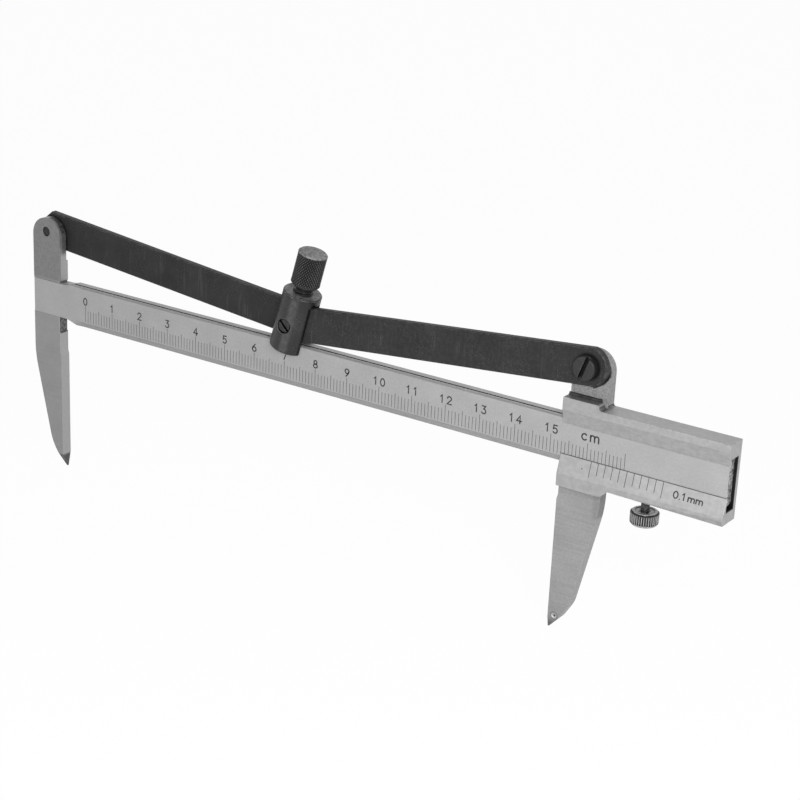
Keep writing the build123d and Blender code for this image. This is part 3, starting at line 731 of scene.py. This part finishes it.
def blackened_steel(name, grey, worn_grey, grains, roughness, radius=0.25, peaks=False, stains_and_painted_light=(),
                    lean=None, shine=0.2, scratches=0.0, shaded_sides=False, corner=(1.2, 0.85, 0.4),
                    spot_fineness=1500.0):
    material, tree, shader = new_material(name)
    axes = coordinates(tree, lean)
    speckle = place_group(tree, pale_grains, Amount=grains)
    edges = place_group(tree, worn_edges, Radius=radius * MM)
    marks = place_group(tree, grinding_marks, Stretch=SCRATCH_STRETCH, Fineness=SCRATCH_FINENESS,
                        Blotch_Size=BLACK_BLOTCH_SIZE)
    spots = place_group(tree, mottle, Fineness=spot_fineness).outputs["Spots"]
    blotches = spread_mask(tree, marks.outputs["Blotches"], *BLACK_BLOTCHES)
    worn_tone = mix_tones(tree, spots, worn_grey, WORN_TONES)
    colour = mix_tones(tree, blotches, grey, SKIN_TONES)
    colour = mix_colour(tree, speckle.outputs["Grains"], colour, worn_grey)
    streaks = spread_mask(tree, marks.outputs["Lines"], *SCRATCH_RANGE, 0, scratches)
    colour = mix_colour(tree, combine(tree, "MULTIPLY", streaks, blotches), colour, worn_grey)
    edge = edges.outputs["Edge"]
    shaded_part = None
    if peaks:
        peak = add_node(tree, "ShaderNodeAttribute", attribute_name="Peak").outputs["Fac"]
        colour = mix_colour(tree, spread_mask(tree, peak, *PEAK_WORN), colour, worn_tone)
        edge = combine(tree, "MULTIPLY", edge, spread_mask(tree, peak, *PEAK_EDGE))
        # Painted shade: the bottoms of the knurl's grooves turn black.
        shaded_part = spread_mask(tree, peak, *PEAK_HOLLOW)
    colour = mix_colour(tree, edge, colour, worn_tone)
    colour = add_stains(tree, axes, colour, stains_and_painted_light, spots)
    # Painted shade: faces that turn away from the front, such as the sides of the screw heads and the walls
    # of their slots, are darkened half way to black.
    if shaded_sides:
        ahead = add_node(tree, "ShaderNodeMath", operation="ABSOLUTE")
        tree.links.new(facing_axis(tree, "Y"), ahead.inputs[0])
        shaded_part = spread_mask(tree, ahead.outputs[0], *TURNED_AWAY, 0, TURNED_AWAY_SHARE)
    # Painted shade in corners, joined with the shade above, is mixed to black and made metallic, so that it
    # mirrors nothing.
    shaded_corners = corner_dirt(tree, corner)
    black = shaded_corners if shaded_part is None else combine(tree, "MAXIMUM", shaded_corners, shaded_part)
    tree.links.new(mix_colour(tree, black, colour, BLACK), shader.inputs["Base Color"])
    tree.links.new(black, shader.inputs["Metallic"])
    shader.inputs["Specular IOR Level"].default_value = shine
    set_surface(tree, shader, marks.outputs["Lines"], roughness, BLACK_SWING,
                speckle.outputs["Grains"], BLACK_BUMP, edges.outputs["Normal"])
    return material


# %% [markdown]
# The block and its knob lean, so their stains and painted light are placed in a frame that
# leans with them, with its zero on the middle pivot. The right arm's front is painted
# lighter, as painted light, and the block has a painted highlight down its round front,
# painted shade on its left side and in its slot, and a top painted lighter as painted light.

# %% The blackened steels
BLOCK_LEAN = math.radians(15)
MIDDLE_PIVOT = Vector((81.525, 1.75, 61.43))
BLOCK_FRAME = (MIDDLE_PIVOT, BLOCK_LEAN)
black_arm = blackened_steel(
    "black_arm", 0.017, 0.16, 0.35, 0.50, radius=0.2, scratches=0.22, spot_fineness=900.0,
    stains_and_painted_light=[
        # The right arm's front, painted lighter: painted light
        ({"X": (98, 164), "Y": (-1, 0.5)}, 0.019, 0.036, 8.0)])
black_block = blackened_steel(
    "black_block", 0.017, 0.24, 0.2, 0.32, shine=0.30, radius=0.3, lean=BLOCK_FRAME, spot_fineness=1200.0,
    stains_and_painted_light=[
        # A bright line down the front: painted highlight
        ({"X": (0.4, 2.3), "Y": (-6, -3.5), "Z": (-7.0, 8.2)}, 0.045, 0.065, 0.5),
        # The left side, darkened: painted shade
        ({"X": (-6, -4.4), "Y": (-6, 0), "Z": (-7.0, 8.2)}, 0.006, 0.006, 0.5),
        # The walls of the slot for the arms, painted black: painted shade
        ({"Y": (-2.5, -1.7), "Z": (-8, 6.5)}, 0.004, 0.004, 0.1),
        # The top, painted lighter: painted light from above
        ({"Z": (8.80, 9.2)}, 0.05, 0.13, 0.03)])
black_screw = blackened_steel("black_screw", 0.020, 0.11, 0.5, 0.42, shaded_sides=True, spot_fineness=1300.0)
black_knurl = blackened_steel(
    "black_knurl", 0.028, 0.21, 0.2, 0.45, radius=0.08, peaks=True, lean=BLOCK_FRAME,
    stains_and_painted_light=[
        # The worn top of the knob
        ({"X": (-3.3, 0.6), "Y": (-3.3, 1.8), "Z": (19.9, 20.4)}, 0.075, 0.15, 0.8)])
black_thread = blackened_steel("black_thread", 0.020, 0.16, 0.2, 0.35, radius=0.1)
print("blackened", [m.name for m in bpy.data.materials if m.name.startswith("black")])

# %% [markdown]
# Each solid gets its metal by changing what its material slot holds. The mesh itself is
# left alone.

# %% Dress the solids
METALS = {
    "main_beam": beam_steel, "slider_frame": slider_steel,
    "fixed_jaw": jaw_steel, "moving_jaw": moving_jaw_steel,
    "lock_screw": screw_steel, "lock_shoe": screw_steel, "gib_spring": spring_steel,
    "left_arm": black_arm, "right_arm": black_arm, "centre_spacer": black_arm,
    "left_pivot_screw": black_screw, "right_pivot_screw": black_screw,
    "centre_pivot_screw": black_screw, "centre_block": black_block,
    "clamp_knob": black_knurl, "clamp_pad": screw_steel,
}


def dress_solids():
    """Give every solid its metal. The ones that aren't listed are rivets."""
    for name, solid in nodes.items():
        metal = METALS.get(name, rivet_steel)
        for slot in solid.material_slots:
            slot.material = metal


dress_solids()
print("dressed", len(nodes))

# %% [markdown]
# Strokes for the graduations. Real ones are engraved and filled with black. A picture of
# them would blur close up, and cutting hundreds of grooves in a mesh is heavy, so they are
# flat ribbons that stand a hundredth of a millimetre proud of the metal. A numeral is a pen
# path: a few points in a box one unit high, with curves made of arcs.

# %% Pen paths of the numerals
def arc(cx, cy, rx, ry, start, end, steps=14):
    """Points along an arc, from a start to an end in degrees."""
    angles = [math.radians(start + (end - start) * i / steps) for i in range(steps + 1)]
    return [(cx + rx * math.cos(a), cy + ry * math.sin(a)) for a in angles]


PEN_PATHS = {
    "0": [arc(0, 0.5, 0.29, 0.5, 90, 450, 28)],
    "1": [[(-0.20, 0.78), (0.0, 1.0), (0.0, 0.0)]],
    "2": [arc(0, 0.72, 0.27, 0.28, 170, -25) + [(-0.29, 0.0), (0.29, 0.0)]],
    "3": [[(-0.24, 1.0), (0.22, 1.0), (-0.03, 0.62)] + arc(-0.03, 0.31, 0.29, 0.31, 75, -150)],
    "4": [[(0.12, 0.0), (0.12, 1.0), (-0.32, 0.30), (0.32, 0.30)]],
    "5": [[(0.24, 1.0), (-0.19, 1.0), (-0.24, 0.53)] + arc(-0.01, 0.32, 0.28, 0.32, 130, -145)],
    "6": [[(0.12, 1.0)] + arc(0.03, 0.33, 0.30, 0.40, 140, 180, 4)
          + arc(0.0, 0.30, 0.28, 0.30, 180, 540, 24)],
    "7": [[(-0.27, 1.0), (0.27, 1.0), (-0.06, 0.0)]],
    "8": [arc(0, 0.75, 0.22, 0.25, -90, 270, 22), arc(0, 0.26, 0.28, 0.26, 90, 450, 22)],
    "9": [[(-0.12, 0.0)] + arc(-0.03, 0.67, 0.30, 0.40, -40, 0, 4)
          + arc(0.0, 0.70, 0.28, 0.30, 0, 360, 24)],
    "c": [arc(0, 0.31, 0.27, 0.31, 45, 315, 18)],
    "m": [[(-0.42, 0.0), (-0.42, 0.62)],
          [(-0.42, 0.42)] + arc(-0.21, 0.44, 0.21, 0.18, 150, 0, 8) + [(0.0, 0.0)],
          [(0.0, 0.42)] + arc(0.21, 0.44, 0.21, 0.18, 150, 0, 8) + [(0.42, 0.0)]],
    ".": [[(0.0, 0.0), (0.0, 0.02)]],
}
print("pen paths", len(PEN_PATHS))

# %% [markdown]
# A ribbon follows its path with a row of points on the left and one on the right, half a
# width away. At a bend the rows stand a little further out, so that the ribbon keeps its
# width. A path that ends where it starts is closed, and any other gets two round caps.

# %% Ribbons that follow a path
CAP_STEPS = 5
SAME_POINT = 0.05
SHARPEST_BEND = 0.3


def ribbon(points, width):
    """The outline of a flat ribbon along a path, as left and right rows and two caps."""
    path = [Vector(p) for p in points]
    closed = len(path) > 3 and (path[0] - path[-1]).length < width * SAME_POINT
    if closed:
        path = path[:-1]
    count = len(path)
    left, right = [], []
    for i, point in enumerate(path):
        before = path[i - 1] if (i > 0 or closed) else None
        after = path[(i + 1) % count] if (i < count - 1 or closed) else None
        one = (point - before).normalized() if before is not None else None
        two = (after - point).normalized() if after is not None else None
        one = one or two
        two = two or one
        along = (one + two).normalized()
        side = Vector((-along.y, along.x))
        reach = min(width / 2 / max(SHARPEST_BEND, along.dot(two)), width)
        left.append(point + side * reach)
        right.append(point - side * reach)
    vertices = left + right
    faces = [(i, i + 1, count + i + 1, count + i) for i in range(count - 1)]
    if closed:
        faces.append((count - 1, 0, count, 2 * count - 1))
        return vertices, faces
    for end, inner, outward in ((0, path[0], path[0] - path[1]), (count - 1, path[-1], path[-1] - path[-2])):
        base = math.atan2(outward.y, outward.x)
        first = len(vertices)
        for step in range(1, CAP_STEPS):
            angle = base - math.pi / 2 + math.pi * step / CAP_STEPS
            vertices.append(inner + Vector((math.cos(angle), math.sin(angle))) * width / 2)
        ring = [first + step for step in range(CAP_STEPS - 1)]
        start, finish = (end, count + end) if end == 0 else (count + end, end)
        faces.append([start] + ring + [finish])
    return vertices, faces


# %% [markdown]
# All strokes of one row become one mesh, laid on a plane that is given by a place and two
# directions. Solidify gives it a thickness that reaches into the metal, so that no light
# comes in under it.

# %% Lay ribbons on the metal
INK_PROUD = 0.012
INK_DEPTH = 0.03


def ink_piece(name, strokes, place, right, up, material, body, slot):
    """One mesh of ribbons, laid on a plane given by a place and two directions."""
    right, up = Vector(right).normalized(), Vector(up).normalized()
    outward = right.cross(up)
    vertices, faces = [], []
    for points, width in strokes:
        corners, quads = ribbon(points, width)
        first = len(vertices)
        vertices += [(Vector(place) + right * c.x + up * c.y + outward * INK_PROUD) * MM for c in corners]
        faces += [[first + index for index in face] for face in quads]
    mesh = bpy.data.meshes.new(name)
    mesh.from_pydata(vertices, [], faces)
    piece = add_object(name, mesh)
    work = bmesh.new()
    work.from_mesh(mesh)
    for face in work.faces:
        face.normal_update()
        if face.normal.dot(outward) < 0:
            face.normal_flip()
    work.to_mesh(mesh)
    work.free()
    solid = piece.modifiers.new("thickness", "SOLIDIFY")
    solid.thickness = INK_DEPTH * MM
    solid.offset = -1
    mesh.materials.append(material)
    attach(piece, body)
    return piece


def write(text, height, pitch, pen, widen=1.0):
    """The strokes of a line of text, centred on zero."""
    strokes = []
    start = -pitch * (len(text) - 1) / 2
    for index, letter in enumerate(text):
        for path in PEN_PATHS[letter]:
            drawn = [(start + index * pitch + x * height * widen, y * height) for x, y in path]
            strokes.append((drawn, pen))
    return strokes


def shifted(strokes, dx, dy):
    return [([(x + dx, y + dy) for x, y in points], width) for points, width in strokes]


# %% [markdown]
# The black filling of the graduations is a dull paint with a little grey in it, because the
# strokes are fine and worn. The thin ticks look paler than the numerals, so they have a
# paint of their own.

# %% Filling for the engraved strokes
INK_FINENESS = 4000.0
INK_WORN = (0.35, 0.7)
INK_TONES = (0.7, 1.5)
INK_ROUGHNESS = 0.7


def engraving_ink(name, grey):
    material, tree, shader = new_material(name)
    marks = place_group(tree, grinding_marks, Fineness=INK_FINENESS)
    worn = spread_mask(tree, marks.outputs["Lines"], *INK_WORN)
    tree.links.new(mix_tones(tree, worn, grey, INK_TONES), shader.inputs["Base Color"])
    shader.inputs["Roughness"].default_value = INK_ROUGHNESS
    return material


numeral_ink = engraving_ink("numeral_ink", 0.022)
tick_ink = engraving_ink("tick_ink", 0.06)
print("inks", numeral_ink.name, tick_ink.name)

# %% [markdown]
# The main scale. Its zero stands 9.7 mm to the right of the fixed jaw's face, because the
# slider's own zero stands the same distance to the right of its jaw. There are 170
# millimetre spaces, with ticks in three lengths, and a numeral at each centimetre.

# %% Graduate the beam
SCALE_ZERO = 9.7
TICK_FOOT = 46.35
TICK_LENGTHS = {10: 4.4, 5: 3.9, 1: 3.2}
TICK_WIDTH = 0.14
LAST_TICK = 170


def beam_ticks():
    strokes = []
    for millimetre in range(LAST_TICK + 1):
        kind = 10 if millimetre % 10 == 0 else 5 if millimetre % 5 == 0 else 1
        x = SCALE_ZERO + millimetre
        strokes.append(([(x, TICK_FOOT), (x, TICK_FOOT + TICK_LENGTHS[kind])], TICK_WIDTH))
    return strokes


FRONT = ((0, 0, 0), (1, 0, 0), (0, 0, 1))
ticks = ink_piece("beam_graduations", beam_ticks(), *FRONT, tick_ink, "beam", "satin_beam")
print("beam ticks", len(ticks.data.polygons))

# %% [markdown]
# A numeral stands above each centimetre's tick, and the unit stands after the last one in
# larger letters. All are written with one round pen, a little wider than the pen paths are
# drawn.

# %% Number the beam
LAST_NUMERAL = 15
NUMERAL_HEIGHT = 1.95
NUMERAL_PITCH = 2.12
NUMERAL_WIDEN = 1.08
NUMERAL_LIFT = 0.45
NUMERAL_PEN = 0.34
UNIT_HEIGHT = 2.45
UNIT_PITCH = 2.72
UNIT_WIDEN = 1.05
UNIT_PEN = 0.39
UNIT_PLACE = (170.06, 51.5)


def beam_numerals():
    strokes = []
    for centimetre in range(LAST_NUMERAL + 1):
        text = write(str(centimetre), NUMERAL_HEIGHT, NUMERAL_PITCH, NUMERAL_PEN, NUMERAL_WIDEN)
        foot = TICK_FOOT + TICK_LENGTHS[10] + NUMERAL_LIFT
        strokes += shifted(text, SCALE_ZERO + centimetre * 10, foot)
    return strokes


numerals = ink_piece("beam_numerals", beam_numerals(), *FRONT, numeral_ink, "beam", "satin_beam")
unit_strokes = shifted(write("cm", UNIT_HEIGHT, UNIT_PITCH, UNIT_PEN, UNIT_WIDEN), *UNIT_PLACE)
unit = ink_piece("unit_mark", unit_strokes, *FRONT, numeral_ink, "beam", "satin_beam")
print("beam numerals", len(numerals.data.polygons), len(unit.data.polygons))

# %% [markdown]
# The vernier. Its ten spaces cover nineteen millimetres, so each is 1.9 mm wide, and it lies
# on the slider's sloping edge. A plane through that slope carries the strokes.

# %% Graduate the vernier
VERNIER_ZERO = 171.2
VERNIER_PITCH = 1.9
VERNIER_SPACES = 10
VERNIER_LENGTHS = {0: 3.9, 1: 3.1}
VERNIER_GAP = 0.12
SLOPE_TOP = Vector((0, -0.17, 46.75))
SLOPE_FOOT = Vector((0, -1.5, 42.10))
SLOPE = (SLOPE_TOP, (1, 0, 0), SLOPE_TOP - SLOPE_FOOT)


def vernier_ticks():
    strokes = []
    for index in range(VERNIER_SPACES + 1):
        length = VERNIER_LENGTHS[0 if index % 5 == 0 else 1]
        x = VERNIER_ZERO + VERNIER_PITCH * index
        strokes.append(([(x, -VERNIER_GAP), (x, -length)], TICK_WIDTH))
    return strokes


vernier = ink_piece("vernier_graduations", vernier_ticks(), *SLOPE, numeral_ink, "slider", "satin_slider")
print("vernier ticks", len(vernier.data.polygons))

# %% [markdown]
# The slope also says what one space of the vernier reads, and has a small dot to the left
# of its zero. Each letter has a measured place of its own, because the gaps differ.

# %% Mark the vernier
MARK_PLACES = (0, 1.05, 2.1, 3.98, 6.02)
MARK_START = 193.75
MARK_HEIGHT = 1.55
MARK_WIDEN = 1.2
MARK_PEN = 0.31
MARK_FOOT = -3.0
DOT_PLACE = (169.1, -2.3)
DOT_RUN = 0.02
mark_strokes = [([DOT_PLACE, (DOT_PLACE[0] + DOT_RUN, DOT_PLACE[1])], MARK_PEN)]
for letter, offset in zip("0.1mm", MARK_PLACES):
    drawn_letter = write(letter, MARK_HEIGHT, 0, MARK_PEN, MARK_WIDEN)
    mark_strokes += shifted(drawn_letter, MARK_START + offset, MARK_FOOT)
vernier_mark = ink_piece("vernier_mark", mark_strokes, *SLOPE, numeral_ink, "slider", "satin_slider")
print("vernier mark", len(vernier_mark.data.polygons))

# %% [markdown]
# Turned pieces are rings of points, one above the other, with four-sided faces between
# them. The knob and its neck are drawn upright about the middle pivot, and lean as the
# block does when they become a mesh.

# %% Helpers for turned pieces
def turned_faces(rings, steps):
    """The four-sided faces between the rings of a turned piece."""
    faces = []
    for ring in range(rings - 1):
        for step in range(steps):
            after = (step + 1) % steps
            faces.append((ring * steps + step, ring * steps + after,
                          (ring + 1) * steps + after, (ring + 1) * steps + step))
    return faces


def leaned_piece(name, vertices, faces):
    """A piece from points in millimetres about the middle pivot, which leans as the block does."""
    lean = Matrix.Translation(MIDDLE_PIVOT) @ Matrix.Rotation(BLOCK_LEAN, 4, "Y")
    mesh = bpy.data.meshes.new(name)
    mesh.from_pydata([lean @ Vector(v) * MM for v in vertices], [], faces)
    return add_object(name, mesh)


# %% [markdown]
# The knob's diamond knurl. A knurl is two sets of screw-like grooves that cross. A picture
# of it could be faked with bump, but its points stand out against the light at the knob's
# edge, so it is real here: the side is a fine grid, and each point moves inwards by the
# deeper of the two grooves at that place. The knurl fades out at both ends.

# %% The knurl and the knob's outline
KNOB_RADIUS = 3.85
KNOB_LOW = 10.59
KNOB_HEIGHT = 9.5
KNOB_CHAMFER = 0.8
KNOB_TOP_EDGE = 0.3
KNURL_DEPTH = 0.24
KNURL_COUNT = 34
KNURL_SLOPE = 1.4
KNURL_PLAIN = 0.30
KNURL_FADE = 12
STEPS_UP = 190
RIM_DROP = 0.22
RIM_STEP = 0.05
FOOT_WEAR, PLAIN_WEAR, KNURL_WEAR, RIM_WEAR = 0.3, 0.4, 0.7, 0.95
NECK_RADIUS = 2.35


def knurl_depth(turn, height):
    """How deep the crossing grooves are, from 0 on a point to 1 in a groove."""
    pitch = 2 * math.pi * KNOB_RADIUS / KNURL_COUNT
    depth = 0
    for side in (1, -1):
        phase = (turn * KNURL_COUNT / (2 * math.pi) + side * height / (pitch * KNURL_SLOPE)) % 1
        depth = max(depth, 1 - abs(phase - 0.5) * 2)
    return depth


def knob_profile():
    """Heights, radii, depths of knurl and wear up the knob."""
    low, high = KNOB_LOW, KNOB_LOW + KNOB_HEIGHT
    rows = [(low, NECK_RADIUS, 0, FOOT_WEAR), (low, KNOB_RADIUS - KNOB_CHAMFER, 0, FOOT_WEAR)]
    first, last = low + KNOB_CHAMFER, high - KNURL_PLAIN
    for step in range(STEPS_UP + 1):
        share = step / STEPS_UP
        edge = min(1, share * KNURL_FADE, (1 - share) * KNURL_FADE)
        rows.append((first + (last - first) * share, KNOB_RADIUS, edge, PLAIN_WEAR))
    rows.append((high - RIM_DROP, KNOB_RADIUS - RIM_STEP, 0, RIM_WEAR))
    rows.append((high, KNOB_RADIUS - KNOB_TOP_EDGE, 0, RIM_WEAR))
    return rows


knob_rows = knob_profile()
print("knob rings", len(knob_rows))

# %% [markdown]
# Now each ring of the outline gets its points, pushed in by the knurl. The same loop keeps
# the value Peak for each point, which the knob's finish reads: it is high on the tops of
# the diamonds and on the rim, where fingers have rubbed the black away.

# %% Cut the knob
STEPS_ROUND = 544


def make_knob(rows):
    vertices, peaks = [], []
    for height, radius, knurled, plain_wear in rows:
        for step in range(STEPS_ROUND):
            turn = 2 * math.pi * step / STEPS_ROUND
            groove = knurl_depth(turn, height)
            reach = radius - KNURL_DEPTH * groove * knurled
            vertices.append((reach * math.cos(turn), reach * math.sin(turn), height))
            peaks.append(KNURL_WEAR * (1 - groove) if knurled else plain_wear)
    faces = turned_faces(len(rows), STEPS_ROUND)
    faces.append([(len(rows) - 1) * STEPS_ROUND + step for step in range(STEPS_ROUND)])
    piece = leaned_piece("knurled_knob", vertices, faces)
    piece.data.attributes.new("Peak", "FLOAT", "POINT").data.foreach_set("value", peaks)
    return piece


knob = make_knob(knob_rows)
print("knob faces", len(knob.data.polygons))

# %% [markdown]
# The neck below the knob is the screw that turns in the block. Its thread shows for less
# than two millimetres, as a few dark rings, and is cut as one helix: the depth at a point
# depends on its height and on how far round it is.

# %% Cut the neck's thread
THREAD_PITCH = 0.8
THREAD_DEPTH = 0.35
THREAD_RADIUS = 2.5
NECK_LOW = 6.67
NECK_STEPS = 96
NECK_ROW_HEIGHT = 0.05


def make_neck():
    rows = int((KNOB_LOW - NECK_LOW) / NECK_ROW_HEIGHT)
    vertices = []
    for row in range(rows + 1):
        height = NECK_LOW + (KNOB_LOW - NECK_LOW) * row / rows
        for step in range(NECK_STEPS):
            turn = 2 * math.pi * step / NECK_STEPS
            phase = (height / THREAD_PITCH - step / NECK_STEPS) % 1
            radius = THREAD_RADIUS - THREAD_DEPTH * (1 - abs(phase - 0.5) * 2)
            vertices.append((radius * math.cos(turn), radius * math.sin(turn), height))
    faces = turned_faces(rows + 1, NECK_STEPS)
    faces.append(list(range(NECK_STEPS))[::-1])
    faces.append([rows * NECK_STEPS + step for step in range(NECK_STEPS)])
    return leaned_piece("knob_thread", vertices, faces)


neck = make_neck()
print("neck faces", len(neck.data.polygons))

# %% [markdown]
# The two meshes stand for the plain knob of the solids, which stays behind them for the
# physics, and they ride on the same body.

# %% Put the knob in its place
for piece, metal in ((knob, black_knurl), (neck, black_thread)):
    piece.data.materials.append(metal)
    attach(piece, "clamp_knob")
    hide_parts("clamp_knob")
print("knob in place", knob.name, neck.name)
